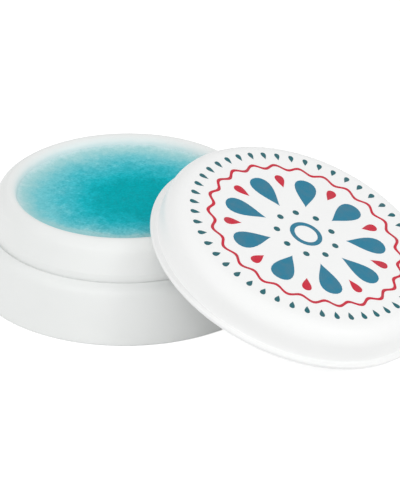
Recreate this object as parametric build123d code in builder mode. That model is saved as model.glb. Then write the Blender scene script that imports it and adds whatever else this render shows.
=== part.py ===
# A round jar of fingertip gel with its push-on lid taken off and leaning on the rim.
# Millimetres. The jar stands on the XY plane with its axis on Z, and the lid leans towards +X.
import os
from math import atan2, cos, degrees, hypot, radians, sin, tan

from build123d import *

# Jar: one moulding, double-walled and open underneath
base_diameter = 66.0
skirt_flare = 1.9
ledge_height = 12.55
ledge_width = 2.6
ledge_fall = 22.0
crease_width = 0.35
crease_depth = 0.5
band_height = 1.4
neck_draft = 18.0
rim_height = 20.5
rim_width = 3.12
rim_fall = 12.0
rim_flat = 0.05
rim_thickness = 2.7
mouth_rounding = 1.6
bowl_taper = 3.25
bowl_corner = 7.0
floor_thickness = 1.2
floor_lift = 1.5
jar_wall = 1.2
foot_rounding = 0.5
shoulder_rounding = 1.8
cavity_rounding = 0.4

# Gel that fills the bowl
gel_drop = 2.7
gel_dish = 0.5
gel_clearance = 0.05

# Lid: one moulding with a lip to lift it by and a sealing ring
lid_clearance = 0.1
lid_wall = 0.8
lid_top = 0.9
lid_draft = 2.0
lid_shoulder = 3.8
lip_overhang = 1.25
lip_thickness = 0.85
lip_rounding = 0.25
lip_lift = 0.6
seal_clearance = 0.15
seal_wall = 0.8
seal_depth = 2.2

# How the lid lies: its lip on the table and its mouth on the jar's rim
lean_angle = 22.43
rest_clearance = 0.2
table_clearance = 0.03
lean_precision = 0.001

os.makedirs("parts", exist_ok=True)

base_radius = base_diameter / 2
shoulder_radius = base_radius - skirt_flare
band_radius = shoulder_radius - ledge_width
band_level = ledge_height + band_height
ledge_slope = tan(radians(ledge_fall))
shoulder_level = ledge_height - ledge_width * ledge_slope
crease_radius = band_radius + crease_width
crease_floor = ledge_height - crease_depth
bowl_floor_level = floor_lift + floor_thickness
cavity_roof = rim_height - rim_thickness
shoulder_underside = shoulder_level - jar_wall
neck_slope = tan(radians(neck_draft))
rim_slope = tan(radians(rim_fall))


def skirt_radius(z):
    """Outer radius of the jar's flared wall at a height."""
    return base_radius - skirt_flare * z / shoulder_level


def neck_radius(z):
    """Outer radius of the jar's tapered neck at a height."""
    return band_radius - (z - band_level) * neck_slope


mouth_radius = neck_radius(rim_height) - rim_width
bowl_floor_radius = mouth_radius - bowl_taper


def bowl_radius(z):
    """Inner radius of the jar's bowl at a height."""
    rise = (z - bowl_floor_level) / (rim_height - bowl_floor_level)
    return bowl_floor_radius + bowl_taper * rise


def draw_section(corners):
    """Draw a closed section from its corners, each with the radius that rounds it."""
    points = [point for point, rounding in corners]
    roundings = [rounding for point, rounding in corners]
    FilletPolyline(*points, radius=roundings, close=True)


# The rim falls away from the mouth's edge, with one round down to the neck and one into the bowl
crossing = neck_slope * rim_slope
rim_corner_radius = (neck_radius(rim_height) - mouth_radius * crossing) / (1 - crossing)
rim_corner_level = rim_height - (rim_corner_radius - mouth_radius) * rim_slope
mouth_corner = 90 - rim_fall + degrees(atan2(bowl_taper, rim_height - bowl_floor_level))
rim_land = mouth_rounding / tan(radians(mouth_corner) / 2) + rim_flat
rim_sweep = hypot(rim_corner_radius - mouth_radius, rim_height - rim_corner_level) - rim_land
rim_rounding = rim_sweep / tan(radians(90 - neck_draft - rim_fall) / 2)
fall_cos = cos(radians(rim_fall))
fall_sin = sin(radians(rim_fall))
rim_core_radius = rim_corner_radius - rim_sweep * fall_cos - rim_rounding * fall_sin
rim_core_level = rim_corner_level + rim_sweep * fall_sin - rim_rounding * fall_cos

jar_section = [
    ((0, floor_lift), 0),
    ((bowl_floor_radius + jar_wall, floor_lift), bowl_corner + jar_wall),
    ((bowl_radius(cavity_roof) + jar_wall, cavity_roof), cavity_rounding),
    ((neck_radius(cavity_roof) - jar_wall, cavity_roof), cavity_rounding),
    ((band_radius - jar_wall, band_level), 0),
    ((band_radius - jar_wall, ledge_height - jar_wall), cavity_rounding),
    ((skirt_radius(shoulder_underside) - jar_wall, shoulder_underside), cavity_rounding),
    ((base_radius - jar_wall, 0), 0),
    ((base_radius, 0), foot_rounding),
    ((shoulder_radius, shoulder_level), shoulder_rounding),
    ((crease_radius, ledge_height - crease_width * ledge_slope), 0),
    ((crease_radius, crease_floor), 0),
    ((band_radius, crease_floor), 0),
    ((band_radius, band_level), 0),
    ((rim_corner_radius, rim_corner_level), rim_rounding),
    ((mouth_radius, rim_height), mouth_rounding),
    ((bowl_floor_radius, bowl_floor_level), bowl_corner),
    ((0, bowl_floor_level), 0),
]
with BuildPart() as jar:
    with BuildSketch(Plane.XZ):
        with BuildLine():
            draw_section(jar_section)
        make_face()
    revolve(axis=Axis.Z)
jar.part.label = "jar"
export_step(jar.part, "parts/jar.step")

# The gel's surface sinks a little towards the middle
gel_level = rim_height - gel_drop
gel_floor = bowl_floor_level + gel_clearance
gel_middle = (0, gel_level - gel_dish)
gel_edge = (bowl_radius(gel_level) - gel_clearance, gel_level)
with BuildPart() as gel:
    with BuildSketch(Plane.XZ):
        with BuildLine():
            FilletPolyline(
                gel_middle,
                (0, gel_floor),
                (bowl_radius(gel_floor) - gel_clearance, gel_floor),
                gel_edge,
                radius=[0, bowl_corner - gel_clearance],
            )
            TangentArc(gel_middle, gel_edge, tangent=(1, 0))
        make_face()
    revolve(axis=Axis.Z)
gel.part.label = "gel"
export_step(gel.part, "parts/gel.step")

# The lid's own frame has its mouth at height 0. On the jar, its top rests on the rim, its mouth
# grips the band, and its lip stays clear of the sloping ledge so that a fingernail gets under it
lid_depth = rim_height - ledge_height - lip_lift
lid_height = lid_depth + lid_top
lid_bore_radius = band_radius + lid_clearance
lid_radius = lid_bore_radius + lid_wall
lip_radius = lid_radius + lip_overhang
seal_radius = bowl_radius(rim_height - seal_depth) - seal_clearance
lid_slope = tan(radians(lid_draft))


def lid_outside(h):
    """Outer radius of the lid's wall at a height above its mouth."""
    return lid_radius - h * lid_slope


lid_section = [
    ((0, lid_height), 0),
    ((lid_outside(lid_height), lid_height), lid_shoulder),
    ((lid_outside(lip_thickness), lip_thickness), lip_rounding),
    ((lip_radius, lip_thickness), lip_rounding),
    ((lip_radius, 0), lip_rounding),
    ((lid_bore_radius, 0), 0),
    ((lid_outside(lid_depth) - lid_wall, lid_depth), lid_shoulder - lid_wall),
    ((seal_radius, lid_depth), 0),
    ((seal_radius, lid_depth - seal_depth), 0),
    ((seal_radius - seal_wall, lid_depth - seal_depth), 0),
    ((seal_radius - seal_wall, lid_depth), 0),
    ((0, lid_depth), 0),
]

# The lid tips over until its lip meets the table, then comes in until its mouth meets the rim
lean_cos = cos(radians(lean_angle))
lean_sin = sin(radians(lean_angle))
lip_drop = (lip_radius - lip_rounding) * lean_sin - lip_rounding * lean_cos + lip_rounding
mouth_level = lip_drop + table_clearance


def rim_gap(offset):
    """Least distance from the lid's mouth to the jar's rim, for a mouth this far from the jar's axis."""
    least = base_diameter
    for degree in range(180):
        across = lid_bore_radius * cos(radians(degree))
        x = offset + across * lean_cos
        y = lid_bore_radius * sin(radians(degree))
        z = mouth_level - across * lean_sin
        reach = hypot(hypot(x, y) - rim_core_radius, z - rim_core_level)
        least = min(least, reach - rim_rounding)
    return least


lean_offset = 0.0
too_far = base_diameter
while too_far - lean_offset > lean_precision:
    halfway = (lean_offset + too_far) / 2
    if rim_gap(halfway) < rest_clearance:
        lean_offset = halfway
    else:
        too_far = halfway

lid_plane = Plane(
    origin=(lean_offset, 0, mouth_level),
    x_dir=(lean_cos, 0, -lean_sin),
    z_dir=(0, -1, 0),
)
with BuildPart() as lid:
    with BuildSketch(lid_plane):
        with BuildLine():
            draw_section(lid_section)
        make_face()
    revolve(axis=Axis(lid_plane.origin, lid_plane.y_dir))
lid.part.label = "lid"
export_step(lid.part, "parts/lid.step")

print(f"gel volume {gel.part.volume / 1000:.1f} ml")
print(f"lid mouth centre at x {lean_offset:.3f}, z {mouth_level:.3f}, lid height {lid_height:.3f}")
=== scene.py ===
# A round jar of fingertip gel with its push-on lid taken off and leaning on the rim.
# Metres. The jar stands on the XY plane with its axis on Z, and the lid leans towards +X.
from math import atan2, cos, hypot, pi, radians, sin, tan

import bmesh
import bpy
from mathutils import Matrix, Vector, noise


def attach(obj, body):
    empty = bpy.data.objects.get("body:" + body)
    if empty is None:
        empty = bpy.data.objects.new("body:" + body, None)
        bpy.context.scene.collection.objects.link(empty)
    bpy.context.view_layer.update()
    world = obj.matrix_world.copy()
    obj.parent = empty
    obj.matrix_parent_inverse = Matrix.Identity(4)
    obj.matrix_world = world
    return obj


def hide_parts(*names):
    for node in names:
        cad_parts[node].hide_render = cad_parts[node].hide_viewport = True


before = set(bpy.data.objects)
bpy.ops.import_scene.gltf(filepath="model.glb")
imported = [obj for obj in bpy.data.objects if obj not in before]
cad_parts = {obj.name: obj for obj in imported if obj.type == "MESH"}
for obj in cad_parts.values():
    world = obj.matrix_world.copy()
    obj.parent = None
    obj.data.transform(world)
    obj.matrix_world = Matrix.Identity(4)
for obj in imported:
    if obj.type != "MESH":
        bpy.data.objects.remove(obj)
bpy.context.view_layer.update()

bl_info = {
    "name": "Gel Jar",
    "version": (1, 0, 0),
    "blender": (4, 5, 0),
    "location": "View3D > Sidebar > Gel Jar",
    "description": "Builds a jar of fingertip gel with its lid leaning on the rim",
    "category": "Add Mesh",
}

# How finely the shapes are divided
TURN_STEPS = 192
SECTION_PITCH = 0.0012
GEL_PITCH = 0.0006
FEWEST_SEGMENTS = 4
MOST_SEGMENTS = 14
SEGMENTS_PER_METRE = 3000
MERGE_DISTANCE = 1e-7
SHARP_ANGLE = radians(34)
RING_STEPS = 288
DROP_SEGMENTS = 26
DOT_SEGMENTS = 20

# Settings


def length(name, description, default):
    """A size in metres."""
    return bpy.props.FloatProperty(
        name=name, description=description, default=default, unit="LENGTH", precision=5
    )


def angle(name, description, default):
    """An angle, given in degrees."""
    return bpy.props.FloatProperty(
        name=name, description=description, default=radians(default), subtype="ANGLE"
    )


def share(name, description, default):
    """A number from 0 to 1."""
    return bpy.props.FloatProperty(
        name=name, description=description, default=default, min=0, max=1, subtype="FACTOR"
    )


def power(name, description, default):
    """The power of a lamp in watts."""
    return bpy.props.FloatProperty(
        name=name, description=description, default=default, min=0, unit="POWER"
    )


def optics(name, description, default):
    """A size of the camera in millimetres."""
    return bpy.props.FloatProperty(
        name=name, description=description, default=default, subtype="DISTANCE_CAMERA"
    )


def count(name, description, default):
    """A number of like things."""
    return bpy.props.IntProperty(name=name, description=description, default=default, min=1)


def colour(name, description, default):
    """A linear colour."""
    return bpy.props.FloatVectorProperty(
        name=name, description=description, default=default, size=3, min=0, max=1, subtype="COLOR"
    )


class JarSettings(bpy.types.PropertyGroup):
    """Sizes and colours of the jar's moulding."""

    base_diameter: length("Base diameter", "Across the foot", 0.066)
    shoulder_diameter: length("Shoulder diameter", "Across the top of the flared wall", 0.0622)
    ledge_height: length("Ledge height", "From the table to the ledge at the neck", 0.01255)
    ledge_fall: angle("Ledge fall", "Slope of the ledge away from the neck", 22)
    crease_width: length("Crease width", "Width of the crease between ledge and neck", 0.00035)
    crease_depth: length("Crease depth", "How deep the crease is cut", 0.0005)
    crease_rounding: length("Crease rounding", "Rounding of the crease's outer edge", 0.00005)
    band_diameter: length("Band diameter", "Across the upright band that the lid grips", 0.057)
    band_height: length("Band height", "From the ledge to the top of the band", 0.0014)
    band_rounding: length("Band rounding", "Rounding between band and neck", 0.0003)
    neck_draft: angle("Neck draft", "Lean of the neck", 18)
    rim_height: length("Rim height", "From the table to the mouth's edge", 0.0205)
    rim_fall: angle("Rim fall", "Slope of the rim away from the mouth", 12)
    rim_thickness: length("Rim thickness", "From the rim down to the hollow under it", 0.0027)
    rim_land: length("Rim land", "From the mouth's edge to the outer round of the rim", 0.001698)
    mouth_diameter: length("Mouth diameter", "Across the mouth", 0.046504)
    mouth_rounding: length("Mouth rounding", "Rounding of the mouth's edge", 0.0016)
    bowl_floor_diameter: length("Bowl floor diameter", "Across the bowl's floor", 0.040)
    bowl_corner: length("Bowl corner", "Rounding of the bowl's corner", 0.007)
    floor_thickness: length("Floor thickness", "Thickness of the bowl's floor", 0.0012)
    floor_lift: length("Floor lift", "From the table to the bowl's underside", 0.0015)
    wall: length("Wall", "Thickness of the walls", 0.0012)
    foot_rounding: length("Foot rounding", "Rounding of the foot's edge", 0.0005)
    shoulder_rounding: length("Shoulder rounding", "Rounding of the shoulder", 0.0018)
    hollow_rounding: length("Hollow rounding", "Rounding of the hollow's corners", 0.0004)
    gate_diameter: length("Gate diameter", "Across the gate's stub under the floor", 0.0024)
    gate_stub: length("Gate stub", "How far the gate's stub stands out", 0.0004)
    gate_rounding: length("Gate rounding", "Rounding of the gate's stub", 0.0001)
    plastic: colour("Plastic", "The plastic's colour", (0.875, 0.89, 0.88))
    shade: colour("Plastic shade", "The plastic's colour where it is thicker", (0.86, 0.877, 0.866))
    gel_smear: colour("Gel smear", "The film of gel on the bowl's wall", (0.64, 0.80, 0.815))
    smear_cover: share("Smear cover", "How much the smear above the gel hides the plastic", 0.75)
    smear_height: length("Smear height", "How far the smear reaches above the gel's edge", 0.0010)
    smear_swing: length("Smear swing", "How far the smear's edge swings up and down", 0.0008)
    smear_blotch: length("Smear blotch", "Across one swing of the smear's edge", 0.003)
    film_cover: share("Film cover", "How much the film on the mouth's edge hides the plastic", 0.08)
    film_width: length("Film width", "How far the film reaches out over the rim", 0.0016)


class GelSettings(bpy.types.PropertyGroup):
    """Sizes and colours of the gel."""

    drop: length("Drop", "From the mouth's edge down to the gel's edge", 0.0027)
    dish: length("Dish", "How far the gel sinks towards the middle", 0.0005)
    meniscus: length("Meniscus", "How far in from the wall the gel starts to climb it", 0.0028)
    meniscus_drop: length("Meniscus drop", "How far the climb starts below the gel's level", 0.0003)
    meniscus_rounding: length("Meniscus rounding", "Rounding where the climb starts", 0.0084)
    climb: length("Climb", "How far the gel climbs the wall", 0.0007)
    edge_rounding: length("Edge rounding", "Rounding of the gel's edge at the wall", 0.00005)
    clearance: length("Clearance", "From the gel to the bowl", 0.00001)
    swell: length("Swell", "Height of the soft waves in the surface", 0.00008)
    swell_size: length("Swell size", "Across one soft wave", 0.006)
    cloud: length("Cloud", "Across the largest blotches of colour", 0.006)
    blotch: length("Blotch", "Across the smaller blotches of colour", 0.0013)
    speck: length("Speck", "Across the specks of colour", 0.00042)
    relief: length("Relief", "Depth of the fine relief", 0.00006)
    # The middle of the deepest colour is moved towards the lid: painted shade of the lid's shadow on the
    # gel, on top of the gel's real depth.
    shaded_middle_x: length("Middle X", "The middle of the deepest colour", 0.0018)
    shaded_middle_y: length("Middle Y", "The middle of the deepest colour", 0.0006)
    worn_side: angle("Worn side", "Where dipping has thinned the gel, round from -Y", 45)
    worn_shift: length("Worn shift", "How far the pale colours reach in on the worn side", 0.0031)
    worn_limit: length("Worn limit", "The ring whose colour the worn side has at most", 0.0212)
    core: colour("Core", "The gel's colour in the middle", (0.0, 0.435, 0.49))
    core_radius: length("Core radius", "How far out the core reaches", 0.0072)
    inner: colour("Inner", "The gel's colour outside the core", (0.01, 0.50, 0.58))
    inner_radius: length("Inner radius", "How far out the inner colour is", 0.0110)
    halfway: colour("Halfway", "The gel's colour halfway out", (0.07, 0.545, 0.63))
    halfway_radius: length("Halfway radius", "How far out the halfway colour is", 0.0152)
    outer: colour("Outer", "The gel's colour further out", (0.18, 0.61, 0.675))
    outer_radius: length("Outer radius", "How far out the outer colour is", 0.0190)
    pale: colour("Pale", "The gel's colour where it thins out", (0.39, 0.685, 0.705))
    pale_radius: length("Pale radius", "How far out the pale colour is", 0.0216)
    edge: colour("Edge", "The gel's colour at the wall", (0.62, 0.80, 0.815))
    edge_radius: length("Edge radius", "How far out the edge's colour starts", 0.0229)


class LidSettings(bpy.types.PropertyGroup):
    """Sizes and colours of the lid's moulding."""

    clearance: length("Clearance", "From the jar's band to the lid's bore", 0.0001)
    wall: length("Wall", "Thickness of the lid's wall", 0.0008)
    top: length("Top", "Thickness of the lid's top", 0.0009)
    draft: angle("Draft", "Lean of the lid's wall", 2)
    shoulder: length("Shoulder", "Rounding of the lid's shoulder", 0.0038)
    lip_overhang: length("Lip overhang", "How far the lip stands out from the wall", 0.00125)
    lip_thickness: length("Lip thickness", "Thickness of the lip", 0.00085)
    lip_rounding: length("Lip rounding", "Rounding of the lip's edges", 0.00025)
    lip_lift: length("Lip lift", "From the jar's ledge up to the lip of the closed lid", 0.0006)
    bore_rounding: length("Bore rounding", "Rounding of the bore's edge", 0.0001)
    seal_clearance: length("Seal clearance", "From the sealing ring to the mouth", 0.00015)
    seal_wall: length("Seal wall", "Thickness of the sealing ring", 0.0008)
    seal_depth: length("Seal depth", "How far the sealing ring hangs down", 0.0022)
    seal_rounding: length("Seal rounding", "Rounding of the sealing ring's edges", 0.0002)
    gate_diameter: length("Gate diameter", "Across the gate's stub inside the lid", 0.0022)
    gate_stub: length("Gate stub", "How far the gate's stub stands out", 0.0003)
    gate_rounding: length("Gate rounding", "Rounding of the gate's stub", 0.000075)
    lean: angle("Lean", "How far the lid tips over", 22.43)
    mouth_x: length("Mouth X", "From the jar's axis to the middle of the lid's mouth", 0.039035)
    mouth_z: length("Mouth Z", "From the table to the middle of the lid's mouth", 0.011648)
    plastic: colour("Plastic", "The plastic's colour", (0.922, 0.927, 0.923))
    shade: colour("Plastic shade", "The plastic's colour where it is thicker", (0.914, 0.92, 0.915))


class PrintSettings(bpy.types.PropertyGroup):
    """Sizes and colours of the rosette of drops on the lid."""

    thickness: length("Thickness", "How far the ink stands out", 0.00003)
    border_radius: length("Border radius", "To the middle of the border's drops", 0.0239)
    border_drops: count("Border drops", "Drops round the border", 48)
    border_drop: length("Border drop", "Length of a border drop", 0.0021)
    wave_radius: length("Wave radius", "To the middle of the waved ring", 0.0205)
    wave_height: length("Wave height", "How far the waved ring swings to each side", 0.0006)
    wave_width: length("Wave width", "Width of the waved ring's line", 0.0007)
    waves: count("Waves", "Waves in the ring", 24)
    petals: count("Petals", "Large drops round the middle", 9)
    petal_radius: length("Petal radius", "To the middle of a large drop", 0.0132)
    petal: length("Petal", "Length of a large drop", 0.0088)
    spray_radius: length("Spray radius", "To the middle of a small drop", 0.0160)
    spray: length("Spray", "Length of a small drop", 0.0038)
    dot_radius: length("Dot radius", "To the middle of a dot", 0.0064)
    dot: length("Dot", "Across a dot", 0.0014)
    eye_radius: length("Eye radius", "To the middle of the inner ring's line", 0.0030)
    eye_width: length("Eye width", "Width of the inner ring's line", 0.0010)
    teal: colour("Teal", "The main ink", (0.006, 0.19, 0.31))
    dark_teal: colour("Dark teal", "The ink of the border", (0.0, 0.115, 0.14))
    red: colour("Red", "The second ink", (0.60, 0.008, 0.035))


class StageSettings(bpy.types.PropertyGroup):
    """The camera, the floor and the light."""

    azimuth: angle("Azimuth", "Turn of the camera round the jar", 29.16)
    elevation: angle("Elevation", "Height of the camera above the horizon", 27.71)
    distance: length("Distance", "From the camera to what it looks at", 0.63454)
    target_x: length("Target X", "What the camera looks at", 0.01245)
    target_y: length("Target Y", "What the camera looks at", 0.00921)
    target_z: length("Target Z", "What the camera looks at", 0.00377)
    lens: optics("Lens", "Focal length", 216)
    sensor: optics("Sensor", "Width of the sensor", 36)
    key: power("Key", "Power of the lamp at the right", 0.69)
    key_size: length("Key size", "Across the lamp at the right", 0.15)
    key_turn: angle("Key turn", "From the camera round to the lamp at the right", 60)
    key_height: angle("Key height", "Height of the lamp at the right above the horizon", 25)
    front: power("Front", "Power of the lamp at the left", 0.77)
    front_size: length("Front size", "Across the lamp at the left", 0.45)
    front_turn: angle("Front turn", "From the camera round to the lamp at the left", -30)
    front_height: angle("Front height", "Height of the lamp at the left above the horizon", 32)
    lamp_distance: length("Lamp distance", "From a lamp to what it lights", 0.6)
    sky: share("Sky", "Strength of the light from all round", 0.735)
    floor: colour("Floor", "The floor's colour", (0.8, 0.8, 0.8))
    floor_lift: share("Floor lift", "White that the floor shows by itself", 0.72)
    floor_reach: length("Floor reach", "From the middle of the floor to its edge", 3)
    floor_gap: length("Floor gap", "From the floor up to the jar's foot", 0.00002)


class GelJarSettings(bpy.types.PropertyGroup):
    """All the settings."""

    jar: bpy.props.PointerProperty(type=JarSettings)
    gel: bpy.props.PointerProperty(type=GelSettings)
    lid: bpy.props.PointerProperty(type=LidSettings)
    ink: bpy.props.PointerProperty(type=PrintSettings)
    stage: bpy.props.PointerProperty(type=StageSettings)


# Shaders


class Signal:
    """A node's output that works in Python expressions, where each operation adds a Math node."""

    def __init__(self, shading, socket):
        self.shading = shading
        self.socket = socket

    def math(self, operation, first, second):
        return self.shading.node("ShaderNodeMath", {"operation": operation}, {0: first, 1: second})

    def at_most(self, limit):
        return self.math("MINIMUM", self, limit)

    def at_least(self, limit):
        return self.math("MAXIMUM", self, limit)

    def __add__(self, other):
        return self.math("ADD", self, other)

    __radd__ = __add__

    def __sub__(self, other):
        return self.math("SUBTRACT", self, other)

    def __rsub__(self, other):
        return self.math("SUBTRACT", other, self)

    def __mul__(self, other):
        return self.math("MULTIPLY", self, other)

    __rmul__ = __mul__

    def __truediv__(self, other):
        return self.math("DIVIDE", self, other)

    def __rtruediv__(self, other):
        return self.math("DIVIDE", other, self)


class Shading:
    """The nodes of a material or of the world."""

    def __init__(self, owner):
        owner.use_nodes = True
        self.tree = owner.node_tree

    def feed(self, socket, value):
        """Link a signal to a socket, or set its value."""
        if isinstance(value, Signal):
            self.tree.links.new(value.socket, socket)
        elif hasattr(value, "__len__") and len(value) == 3 and socket.type == "RGBA":
            socket.default_value = (*value, 1)
        else:
            socket.default_value = value

    def node(self, kind, settings, sockets, output=0):
        """Add a node: its settings first, then the values or links of its sockets."""
        node = self.tree.nodes.new(kind)
        for setting, value in settings.items():
            if setting == "stops":
                self.set_stops(node.color_ramp, value)
            else:
                setattr(node, setting, value)
        for socket, value in sockets.items():
            self.feed(node.inputs[socket], value)
        return Signal(self, node.outputs[output])

    def set_stops(self, ramp, stops):
        """Give a ramp its places and colours."""
        while len(ramp.elements) < len(stops):
            ramp.elements.new(1)
        for element, (place, value) in zip(ramp.elements, stops):
            element.position = place
            element.color = (*value, 1)

    def seen(self):
        """1 where the camera looks, straight or by way of gloss or glass."""
        camera, glossy, transmission = (
            self.node("ShaderNodeLightPath", {}, {}, f"Is {kind} Ray")
            for kind in ("Camera", "Glossy", "Transmission")
        )
        return self.node("ShaderNodeClamp", {}, {"Value": camera + glossy + transmission})


class Finish(Shading):
    """A material with one Principled shader."""

    def __init__(self, name, **constants):
        self.material = bpy.data.materials.new(name)
        super().__init__(self.material)
        self.tree.nodes.clear()
        self.shader = self.tree.nodes.new("ShaderNodeBsdfPrincipled")
        output = self.tree.nodes.new("ShaderNodeOutputMaterial")
        self.tree.links.new(self.shader.outputs[0], output.inputs["Surface"])
        for socket, value in constants.items():
            self.show(socket.replace("_", " "), value)

    def show(self, socket, value):
        """Feed one of the shader's sockets."""
        self.feed(self.shader.inputs[socket], value)

    def place(self):
        """The place on the piece, in the part's frame."""
        return self.node("ShaderNodeTexCoord", {}, {}, "Object")

    def grain(self, place, size, detail=2.0, roughness=0.5):
        """Soft noise from 0 to 1 with blotches of about a size."""
        return self.node(
            "ShaderNodeTexNoise",
            {},
            {"Vector": place, "Scale": 1 / size, "Detail": detail, "Roughness": roughness},
        )

    def step(self, value, low, high):
        """0 below low, 1 above high, and smooth between them."""
        return self.node(
            "ShaderNodeMapRange",
            {"interpolation_type": "SMOOTHSTEP"},
            {"Value": value, "From Min": low, "From Max": high},
        )

    def blend(self, factor, first, second, kind="MIX"):
        """Mix two colours. Inputs 6 and 7 and output 2 are the node's colour sockets."""
        settings = {"data_type": "RGBA", "blend_type": kind}
        return self.node("ShaderNodeMix", settings, {0: factor, 6: first, 7: second}, 2)

    def height(self, place):
        """The height above the XY plane."""
        return self.node("ShaderNodeSeparateXYZ", {}, {0: place}, "Z")

    def from_axis(self, place):
        """The distance from the Z axis."""
        flat = self.node(
            "ShaderNodeVectorMath", {"operation": "MULTIPLY"}, {0: place, 1: (1, 1, 0)}
        )
        return self.node("ShaderNodeVectorMath", {"operation": "LENGTH"}, {0: flat}, "Value")

    def moved(self, place, centre):
        """A place as seen from another centre."""
        return self.node(
            "ShaderNodeVectorMath", {"operation": "SUBTRACT"}, {0: place, 1: centre}
        )

    def along(self, place, direction):
        """How far a place lies along a direction."""
        settings = {"operation": "DOT_PRODUCT"}
        return self.node("ShaderNodeVectorMath", settings, {0: place, 1: direction}, "Value")

    def relief(self, height, depth):
        """Fine relief on the surface, as deep as given."""
        sockets = {"Height": height, "Distance": depth, "Strength": 1.0}
        self.show("Normal", self.node("ShaderNodeBump", {}, sockets))


def lid_frame(lid):
    """The place of the lid's own frame, whose mouth is at height 0."""
    return Matrix.Translation((lid.mouth_x, 0, lid.mouth_z)) @ Matrix.Rotation(lid.lean, 4, "Y")


def moulded_plastic(finish, place, plastic, shade):
    """White moulded plastic: cloudy in tone, satin, with the fine grain of its mould."""
    cloud_size = 0.009
    fine_size = 0.00045
    peel_size = 0.0016
    relief_depth = 0.000006
    satin = 0.36
    cloud = finish.grain(place, cloud_size, detail=3.0)
    fine = finish.grain(place, fine_size, detail=3.0, roughness=0.6)
    peel = finish.grain(place, peel_size)
    finish.show("Roughness", satin + 0.12 * cloud + 0.06 * fine)
    finish.relief(0.6 * fine + 0.4 * peel, relief_depth)
    return finish.blend(finish.step(cloud, 0.3, 0.7), plastic, shade)


def jar_plastic(jar, gel):
    """The jar's plastic, with a smear of gel on the bowl's wall and a faint film on the mouth's edge."""
    finish = Finish("jar_plastic", Specular_IOR_Level=0.3)
    place = finish.place()
    plastic = moulded_plastic(finish, place, jar.plastic, jar.shade)
    mouth_edge = 0.0004
    smear_start = 0.0002
    film_start = 0.0005
    mouth = jar.mouth_diameter / 2
    shore = jar.rim_height - gel.drop + gel.climb
    out = finish.from_axis(place)
    swing = jar.smear_swing * (finish.grain(place, jar.smear_blotch) - 0.5)
    height = finish.height(place) + swing
    inside = 1 - finish.step(out, mouth, mouth + mouth_edge)
    smear = inside * (1 - finish.step(height, shore - smear_start, shore + jar.smear_height))
    over_rim = 1 - finish.step(out, mouth - mouth_edge, mouth + jar.film_width)
    film = over_rim * finish.step(height, shore, shore + film_start)
    cover = jar.smear_cover * smear + jar.film_cover * film
    finish.show("Base Color", finish.blend(cover, plastic, jar.gel_smear))
    return finish.material


def lid_plastic(lid):
    """The lid's plastic, whose grain lies in the lid's own frame."""
    finish = Finish("lid_plastic", Specular_IOR_Level=0.3)
    place = finish.node(
        "ShaderNodeMapping",
        {"vector_type": "TEXTURE"},
        {
            "Vector": finish.place(),
            "Location": (lid.mouth_x, 0, lid.mouth_z),
            "Rotation": (0, lid.lean, 0),
        },
    )
    finish.show("Base Color", moulded_plastic(finish, place, lid.plastic, lid.shade))
    return finish.material


def gel_finish(gel):
    """Turquoise gel, deep in the middle and darker on the lid's side as painted shade, pale at the wall
    and mottled all over.
    """
    finish = Finish("turquoise_gel", Specular_IOR_Level=0.01)
    place = finish.place()
    cloud = finish.grain(place, gel.cloud)
    blotch = finish.grain(place, gel.blotch, roughness=0.6)
    speck = finish.grain(place, gel.speck, detail=1.0)

    # The colours are rings round the deepest place, and round the jar's axis near the wall. The deepest
    # place is moved towards the lid, so the gel is darker on the lid's side: partly its real depth,
    # partly painted shade of the lid's shadow.
    rings_turn = 0.014
    rings_end = 0.0225
    from_shaded_middle = finish.moved(place, (gel.shaded_middle_x, gel.shaded_middle_y, 0))
    near_wall = finish.step(finish.from_axis(place), rings_turn, rings_end)
    middle = finish.from_axis(from_shaded_middle) * (1 - near_wall) + finish.from_axis(place) * near_wall

    # Dipping has thinned the gel along one side
    worn_centre = 0.0044
    worn_start = 0.0170
    worn_end = 0.0228
    side_start = 0.004
    side_end = 0.013
    side = Vector((sin(gel.worn_side), -cos(gel.worn_side), 0))
    beyond = finish.from_axis(finish.moved(place, -worn_centre * side))
    toward = finish.along(place, side)
    worn = finish.step(beyond, worn_start, worn_end) * finish.step(toward, side_start, side_end)

    # The mottling fades towards the wall
    fade_start = 0.015
    fade_end = 0.022
    mottle = 1 - 0.75 * finish.step(middle, fade_start, fade_end)
    cloud_shift = 0.006
    blotch_shift = 0.006
    speck_shift = 0.002
    shift = cloud_shift * (cloud - 0.5) + blotch_shift * (blotch - 0.5) + speck_shift * (speck - 0.5)
    out = middle + mottle * shift
    worn_out = (out + gel.worn_shift * worn).at_most(gel.worn_limit)
    ramp_reach = 0.024
    rings = (
        (gel.core_radius, gel.core),
        (gel.inner_radius, gel.inner),
        (gel.halfway_radius, gel.halfway),
        (gel.outer_radius, gel.outer),
        (gel.pale_radius, gel.pale),
        (gel.edge_radius, gel.edge),
    )
    tint = finish.node(
        "ShaderNodeValToRGB",
        {"stops": [(radius / ramp_reach, tone) for radius, tone in rings]},
        {"Fac": out.at_least(worn_out) / ramp_reach},
    )
    light = 1 + mottle * (0.35 * (blotch - 0.5) + 0.45 * (speck - 0.5))
    moist = 0.34
    finish.show("Base Color", finish.blend(1.0, tint, light, "MULTIPLY"))
    finish.show("Roughness", moist + 0.2 * blotch)
    finish.relief(0.7 * blotch + 0.3 * speck, gel.relief)
    return finish.material


def ink(name, tone):
    """Printing ink that is a little uneven."""
    finish = Finish(name, Specular_IOR_Level=0.3)
    place = finish.place()
    cover_size = 0.0022
    grain_size = 0.0006
    matt = 0.42
    cover = finish.grain(place, cover_size, detail=3.0)
    thin = tuple(0.82 * part + 0.03 for part in tone)
    finish.show("Base Color", finish.blend(finish.step(cover, 0.35, 0.75), tone, thin))
    finish.show("Roughness", matt + 0.12 * finish.grain(place, grain_size))
    return finish.material


# Shapes


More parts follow.
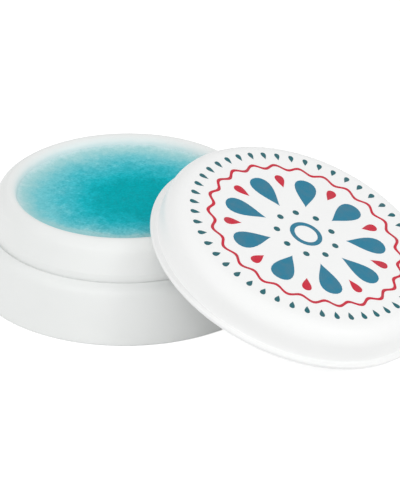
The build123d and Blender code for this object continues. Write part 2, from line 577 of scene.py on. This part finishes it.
def round_corner(bm, corner, rounding):
    """Round one corner of a wire section."""
    one, other = ((edge.other_vert(corner).co - corner.co) for edge in corner.link_edges)
    segments = round(rounding * SEGMENTS_PER_METRE)
    bmesh.ops.bevel(
        bm,
        geom=[corner],
        offset=rounding / tan(one.angle(other) / 2),
        offset_type="OFFSET",
        segments=max(FEWEST_SEGMENTS, min(MOST_SEGMENTS, segments)),
        profile=0.5,
        affect="VERTICES",
        material=-1,
        clamp_overlap=False,
    )


def turn_section(corners, pitch=SECTION_PITCH):
    """Turn an open section, of radius, height and rounding at each corner, about the Z axis."""
    bm = bmesh.new()
    points = [bm.verts.new((radius, 0, height)) for radius, height, rounding in corners]
    for pair in zip(points, points[1:]):
        bm.edges.new(pair)
    for point, (radius, height, rounding) in zip(points, corners):
        if rounding:
            round_corner(bm, point, rounding)
    for edge in bm.edges[:]:
        cuts = int(edge.calc_length() / pitch)
        if cuts:
            bmesh.ops.subdivide_edges(bm, edges=[edge], cuts=cuts)
    bmesh.ops.spin(
        bm,
        geom=bm.verts[:] + bm.edges[:],
        cent=(0, 0, 0),
        axis=(0, 0, 1),
        angle=2 * pi,
        steps=TURN_STEPS,
        use_merge=True,
    )
    bmesh.ops.remove_doubles(bm, verts=bm.verts[:], dist=MERGE_DISTANCE)
    bmesh.ops.recalc_face_normals(bm, faces=bm.faces[:])
    return bm


def place_piece(bm, name, material, body, nodes=()):
    """Make a piece of a bmesh, which rides on a body and may stand for CAD nodes."""
    mesh = bpy.data.meshes.new(name)
    for face in bm.faces:
        face.smooth = True
    bm.to_mesh(mesh)
    bm.free()
    mesh.set_sharp_from_angle(angle=SHARP_ANGLE)
    mesh.materials.append(material)
    piece = bpy.data.objects.new(name, mesh)
    bpy.context.scene.collection.objects.link(piece)
    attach(piece, body)
    if nodes:
        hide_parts(*nodes)


def bowl_radius(jar, height):
    """Inner radius of the jar's bowl at a height."""
    floor = jar.floor_lift + jar.floor_thickness
    rise = (height - floor) / (jar.rim_height - floor)
    return (jar.bowl_floor_diameter + (jar.mouth_diameter - jar.bowl_floor_diameter) * rise) / 2


def jar_section(jar):
    """The jar's section, from the middle of its underside round to the middle of its bowl."""
    wall = jar.wall
    base = jar.base_diameter / 2
    shoulder = jar.shoulder_diameter / 2
    band = jar.band_diameter / 2
    band_level = jar.ledge_height + jar.band_height
    mouth = jar.mouth_diameter / 2
    bowl_floor = jar.bowl_floor_diameter / 2
    bowl_level = jar.floor_lift + jar.floor_thickness
    hollow_roof = jar.rim_height - jar.rim_thickness
    shoulder_level = jar.ledge_height - (shoulder - band) * tan(jar.ledge_fall)
    shoulder_underside = shoulder_level - wall
    crease = band + jar.crease_width
    crease_top = jar.ledge_height - jar.crease_width * tan(jar.ledge_fall)
    crease_floor = jar.ledge_height - jar.crease_depth
    neck_slope = tan(jar.neck_draft)
    rim_slope = tan(jar.rim_fall)

    def skirt(height):
        return base + (shoulder - base) * height / shoulder_level

    def neck(height):
        return band - (height - band_level) * neck_slope

    crossing = neck_slope * rim_slope
    rim_corner = (neck(jar.rim_height) - mouth * crossing) / (1 - crossing)
    rim_level = jar.rim_height - (rim_corner - mouth) * rim_slope
    rim_sweep = hypot(rim_corner - mouth, jar.rim_height - rim_level) - jar.rim_land
    rim_rounding = rim_sweep / tan((pi / 2 - jar.neck_draft - jar.rim_fall) / 2)
    gate = jar.gate_diameter / 2
    stub = jar.floor_lift - jar.gate_stub
    return [
        (0, stub, 0),
        (gate, stub, jar.gate_rounding),
        (gate, jar.floor_lift, jar.gate_rounding),
        (bowl_floor + wall, jar.floor_lift, jar.bowl_corner + wall),
        (bowl_radius(jar, hollow_roof) + wall, hollow_roof, jar.hollow_rounding),
        (neck(hollow_roof) - wall, hollow_roof, jar.hollow_rounding),
        (band - wall, band_level, 0),
        (band - wall, jar.ledge_height - wall, jar.hollow_rounding),
        (skirt(shoulder_underside) - wall, shoulder_underside, jar.hollow_rounding),
        (base - wall, 0, 0),
        (base, 0, jar.foot_rounding),
        (shoulder, shoulder_level, jar.shoulder_rounding),
        (crease, crease_top, jar.crease_rounding),
        (crease, crease_floor, 0),
        (band, crease_floor, 0),
        (band, band_level, jar.band_rounding),
        (rim_corner, rim_level, rim_rounding),
        (mouth, jar.rim_height, jar.mouth_rounding),
        (bowl_floor, bowl_level, jar.bowl_corner),
        (0, bowl_level, 0),
    ]


def gel_section(jar, gel):
    """The gel's section, from the middle of its underside round to the middle of its surface."""
    floor = jar.floor_lift + jar.floor_thickness + gel.clearance
    level = jar.rim_height - gel.drop
    shore = level + gel.climb
    wall = bowl_radius(jar, shore) - gel.clearance
    return [
        (0, floor, 0),
        (bowl_radius(jar, floor) - gel.clearance, floor, jar.bowl_corner - gel.clearance),
        (wall, shore, gel.edge_rounding),
        (wall - gel.meniscus, level - gel.meniscus_drop, gel.meniscus_rounding),
        (0, level - gel.dish, 0),
    ]


def lid_height(jar, lid):
    """From the lid's mouth to the top of the lid."""
    return jar.rim_height - jar.ledge_height - lid.lip_lift + lid.top


def lid_section(jar, lid):
    """The lid's section, from the middle of its top round to the middle of its inside."""
    height = lid_height(jar, lid)
    depth = height - lid.top
    bore = jar.band_diameter / 2 + lid.clearance
    radius = bore + lid.wall
    lip = radius + lid.lip_overhang
    seal = bowl_radius(jar, jar.rim_height - lid.seal_depth) - lid.seal_clearance
    seal_inside = seal - lid.seal_wall
    seal_foot = depth - lid.seal_depth

    def outside(level):
        return radius - level * tan(lid.draft)

    gate = lid.gate_diameter / 2
    stub = depth - lid.gate_stub
    return [
        (0, height, 0),
        (outside(height), height, lid.shoulder),
        (outside(lid.lip_thickness), lid.lip_thickness, lid.lip_rounding),
        (lip, lid.lip_thickness, lid.lip_rounding),
        (lip, 0, lid.lip_rounding),
        (bore, 0, lid.bore_rounding),
        (outside(depth) - lid.wall, depth, lid.shoulder - lid.wall),
        (seal, depth, lid.seal_rounding),
        (seal, seal_foot, lid.seal_rounding),
        (seal_inside, seal_foot, lid.seal_rounding),
        (seal_inside, depth, lid.seal_rounding),
        (gate, depth, lid.gate_rounding),
        (gate, stub, lid.gate_rounding),
        (0, stub, 0),
    ]


class PrintSheet:
    """Flat shapes of one ink, drawn round the middle of the lid's top."""

    def __init__(self):
        self.bm = bmesh.new()

    def disc(self, radius, segments):
        """A flat disc at the middle."""
        made = bmesh.ops.create_circle(self.bm, cap_ends=True, radius=radius, segments=segments)
        return made["verts"]

    def repeat(self, verts, radius, number, turn):
        """Move a shape out to a radius and repeat it all round. A turn of 1 is one place round."""
        bmesh.ops.translate(self.bm, vec=(radius, 0, 0), verts=verts)
        first_turn = Matrix.Rotation(2 * pi * turn / number, 3, "Z")
        bmesh.ops.rotate(self.bm, cent=(0, 0, 0), matrix=first_turn, verts=verts)
        bmesh.ops.spin(
            self.bm,
            geom=list({face for vert in verts for face in vert.link_faces}),
            cent=(0, 0, 0),
            axis=(0, 0, 1),
            angle=2 * pi * (number - 1) / number,
            steps=number - 1,
            use_duplicate=True,
        )

    def drops(self, radius, size, number, turn=0.0):
        """Drops that point to the middle."""
        taper = 0.75
        slimness = 1.3
        verts = self.disc(1, DROP_SEGMENTS)
        for vert in verts:
            vert.co.y *= ((1 + vert.co.x) / 2) ** taper
        bmesh.ops.scale(self.bm, vec=(size / 2, size / 2 / slimness, 1), verts=verts)
        self.repeat(verts, radius, number, turn)

    def dots(self, radius, size, number, turn=0.0):
        """Round dots."""
        self.repeat(self.disc(size / 2, DOT_SEGMENTS), radius, number, turn)

    def ring(self, radius, width, swing=0.0, waves=1):
        """A ring that may swing in and out in waves."""
        before = set(self.bm.verts)
        ends = [self.bm.verts.new((radius + side * width / 2, 0, 0)) for side in (-1, 1)]
        line = self.bm.edges.new(ends)
        bmesh.ops.spin(
            self.bm,
            geom=ends + [line],
            cent=(0, 0, 0),
            axis=(0, 0, 1),
            angle=2 * pi,
            steps=RING_STEPS,
            use_merge=True,
        )
        for vert in set(self.bm.verts) - before:
            round_angle = atan2(vert.co.y, vert.co.x)
            vert.co *= 1 + swing * sin(waves * round_angle) / vert.co.length

    def finish(self, thickness, matrix):
        """Give the shapes their thickness, sink them in a little and put them in their place."""
        bm = self.bm
        sunk = thickness / 2
        bmesh.ops.translate(bm, vec=(0, 0, -sunk), verts=bm.verts[:])
        raised = bmesh.ops.extrude_face_region(bm, geom=bm.faces[:], use_keep_orig=True)["geom"]
        tops = [item for item in raised if isinstance(item, bmesh.types.BMVert)]
        bmesh.ops.translate(bm, vec=(0, 0, sunk + thickness), verts=tops)
        bmesh.ops.recalc_face_normals(bm, faces=bm.faces[:])
        bmesh.ops.transform(bm, matrix=matrix, verts=bm.verts[:])
        return bm


# Operators


class GELJAR_OT_mould_jar(bpy.types.Operator):
    """Mould the jar"""

    bl_idname = "gel_jar.mould_jar"
    bl_label = "Mould Jar"

    def execute(self, context):
        settings = context.scene.gel_jar
        bm = turn_section(jar_section(settings.jar))
        plastic = jar_plastic(settings.jar, settings.gel)
        place_piece(bm, "jar_moulding", plastic, "jar", ["jar"])
        return {"FINISHED"}


class GELJAR_OT_pour_gel(bpy.types.Operator):
    """Pour the gel into the jar's bowl"""

    bl_idname = "gel_jar.pour_gel"
    bl_label = "Pour Gel"

    def execute(self, context):
        settings = context.scene.gel_jar
        gel = settings.gel
        bm = turn_section(gel_section(settings.jar, gel), GEL_PITCH)
        level = settings.jar.rim_height - gel.drop
        below_surface = level - 2 * gel.dish
        calm = bowl_radius(settings.jar, level) - gel.meniscus
        for vert in bm.verts:
            radius = hypot(vert.co.x, vert.co.y)
            if vert.co.z > below_surface and radius < calm:
                fade = min(1, (calm - radius) / gel.meniscus)
                place = Vector((vert.co.x, vert.co.y, 0)) / gel.swell_size
                vert.co.z += gel.swell * fade * noise.noise(place)
        place_piece(bm, "gel_fill", gel_finish(gel), "jar", ["gel"])
        return {"FINISHED"}


class GELJAR_OT_mould_lid(bpy.types.Operator):
    """Mould the lid and lean it on the jar's rim"""

    bl_idname = "gel_jar.mould_lid"
    bl_label = "Mould Lid"

    def execute(self, context):
        settings = context.scene.gel_jar
        bm = turn_section(lid_section(settings.jar, settings.lid))
        bmesh.ops.transform(bm, matrix=lid_frame(settings.lid), verts=bm.verts[:])
        plastic = lid_plastic(settings.lid)
        place_piece(bm, "lid_moulding", plastic, "lid", ["lid"])
        return {"FINISHED"}


class GELJAR_OT_print_lid(bpy.types.Operator):
    """Print a rosette of drops on the lid"""

    bl_idname = "gel_jar.print_lid"
    bl_label = "Print Lid"

    def execute(self, context):
        settings = context.scene.gel_jar
        sizes = settings.ink
        between = 0.5
        rise = Matrix.Translation((0, 0, lid_height(settings.jar, settings.lid)))
        top = lid_frame(settings.lid) @ rise
        petals = PrintSheet()
        petals.drops(sizes.petal_radius, sizes.petal, sizes.petals)
        petals.ring(sizes.eye_radius, sizes.eye_width)
        border = PrintSheet()
        border.drops(sizes.border_radius, sizes.border_drop, sizes.border_drops)
        border.dots(sizes.dot_radius, sizes.dot, sizes.petals, between)
        waves = PrintSheet()
        waves.ring(sizes.wave_radius, sizes.wave_width, sizes.wave_height, sizes.waves)
        waves.drops(sizes.spray_radius, sizes.spray, sizes.petals, between)
        for name, sheet, tone in (
            ("print_petals", petals, sizes.teal),
            ("print_border", border, sizes.dark_teal),
            ("print_waves", waves, sizes.red),
        ):
            bm = sheet.finish(sizes.thickness, top)
            place_piece(bm, name, ink(name, tone), "lid")
        return {"FINISHED"}


class GELJAR_OT_set_stage(bpy.types.Operator):
    """Set the floor, the light and the camera"""

    bl_idname = "gel_jar.set_stage"
    bl_label = "Set Stage"

    def execute(self, context):
        stage = context.scene.gel_jar.stage
        target = Vector((stage.target_x, stage.target_y, stage.target_z))
        self.lay_floor(context, stage)
        self.light_sky(context, stage)
        for name, watts, size, turn, height in (
            ("key_lamp", stage.key, stage.key_size, stage.key_turn, stage.key_height),
            ("front_lamp", stage.front, stage.front_size, stage.front_turn, stage.front_height),
        ):
            out = self.direction(stage.azimuth + turn, height)
            self.hang_lamp(context, name, watts, size, target + stage.lamp_distance * out, out)
        self.aim_camera(context, stage, target)
        context.scene.view_settings.view_transform = "Standard"
        return {"FINISHED"}

    def direction(self, azimuth, elevation):
        """The way out from the object, at a turn round it and a height above the horizon."""
        level = cos(elevation)
        return Vector((sin(azimuth) * level, -cos(azimuth) * level, sin(elevation)))

    def lay_floor(self, context, stage):
        """A pale floor that looks white apart from the shadow on it."""
        bm = bmesh.new()
        bmesh.ops.create_grid(bm, x_segments=1, y_segments=1, size=stage.floor_reach)
        bmesh.ops.translate(bm, vec=(0, 0, -stage.floor_gap), verts=bm.verts[:])
        mesh = bpy.data.meshes.new("floor")
        bm.to_mesh(mesh)
        bm.free()
        finish = Finish("floor", Base_Color=stage.floor, Roughness=0.9, Specular_IOR_Level=0.0)
        finish.show("Emission Color", finish.seen())
        finish.show("Emission Strength", stage.floor_lift)
        mesh.materials.append(finish.material)
        floor = bpy.data.objects.new("floor", mesh)
        context.scene.collection.objects.link(floor)

    def light_sky(self, context, stage):
        """Even light from all round, and white where the camera sees it."""
        world = bpy.data.worlds.new("studio")
        context.scene.world = world
        shading = Shading(world)
        background = shading.tree.nodes["Background"]
        shading.feed(background.inputs["Color"], (1, 1, 1))
        strength = stage.sky + (1 - stage.sky) * shading.seen()
        shading.feed(background.inputs["Strength"], strength)

    def hang_lamp(self, context, name, watts, size, place, out):
        """A soft square lamp that faces the object."""
        lamp = bpy.data.lights.new(name, "AREA")
        lamp.energy = watts
        lamp.size = size
        holder = bpy.data.objects.new(name, lamp)
        holder.location = place
        holder.rotation_euler = out.to_track_quat("Z", "Y").to_euler()
        context.scene.collection.objects.link(holder)

    def aim_camera(self, context, stage, target):
        """The camera that sees the object as the picture does."""
        camera = bpy.data.cameras.new("camera")
        camera.lens = stage.lens
        camera.sensor_width = stage.sensor
        holder = bpy.data.objects.new("camera", camera)
        out = self.direction(stage.azimuth, stage.elevation)
        holder.location = target + stage.distance * out
        holder.rotation_euler = (pi / 2 - stage.elevation, 0, stage.azimuth)
        context.scene.collection.objects.link(holder)
        context.scene.camera = holder


class GELJAR_PT_panel(bpy.types.Panel):
    """Lists the pieces and their settings"""

    bl_label = "Gel Jar"
    bl_idname = "GELJAR_PT_panel"
    bl_space_type = "VIEW_3D"
    bl_region_type = "UI"
    bl_category = "Gel Jar"

    def draw(self, context):
        settings = context.scene.gel_jar
        for operator, group in (
            (GELJAR_OT_mould_jar, settings.jar),
            (GELJAR_OT_pour_gel, settings.gel),
            (GELJAR_OT_mould_lid, settings.lid),
            (GELJAR_OT_print_lid, settings.ink),
            (GELJAR_OT_set_stage, settings.stage),
        ):
            box = self.layout.box()
            box.operator(operator.bl_idname)
            for name in group.__annotations__:
                box.prop(group, name)


classes = (
    JarSettings,
    GelSettings,
    LidSettings,
    PrintSettings,
    StageSettings,
    GelJarSettings,
    GELJAR_OT_mould_jar,
    GELJAR_OT_pour_gel,
    GELJAR_OT_mould_lid,
    GELJAR_OT_print_lid,
    GELJAR_OT_set_stage,
    GELJAR_PT_panel,
)


def register():
    for item in classes:
        bpy.utils.register_class(item)
    bpy.types.Scene.gel_jar = bpy.props.PointerProperty(type=GelJarSettings)


def unregister():
    del bpy.types.Scene.gel_jar
    for item in reversed(classes):
        bpy.utils.unregister_class(item)


def main():
    register()
    bpy.ops.gel_jar.mould_jar()
    bpy.ops.gel_jar.pour_gel()
    bpy.ops.gel_jar.mould_lid()
    bpy.ops.gel_jar.print_lid()
    bpy.ops.gel_jar.set_stage()


if __name__ == "__main__":
    main()
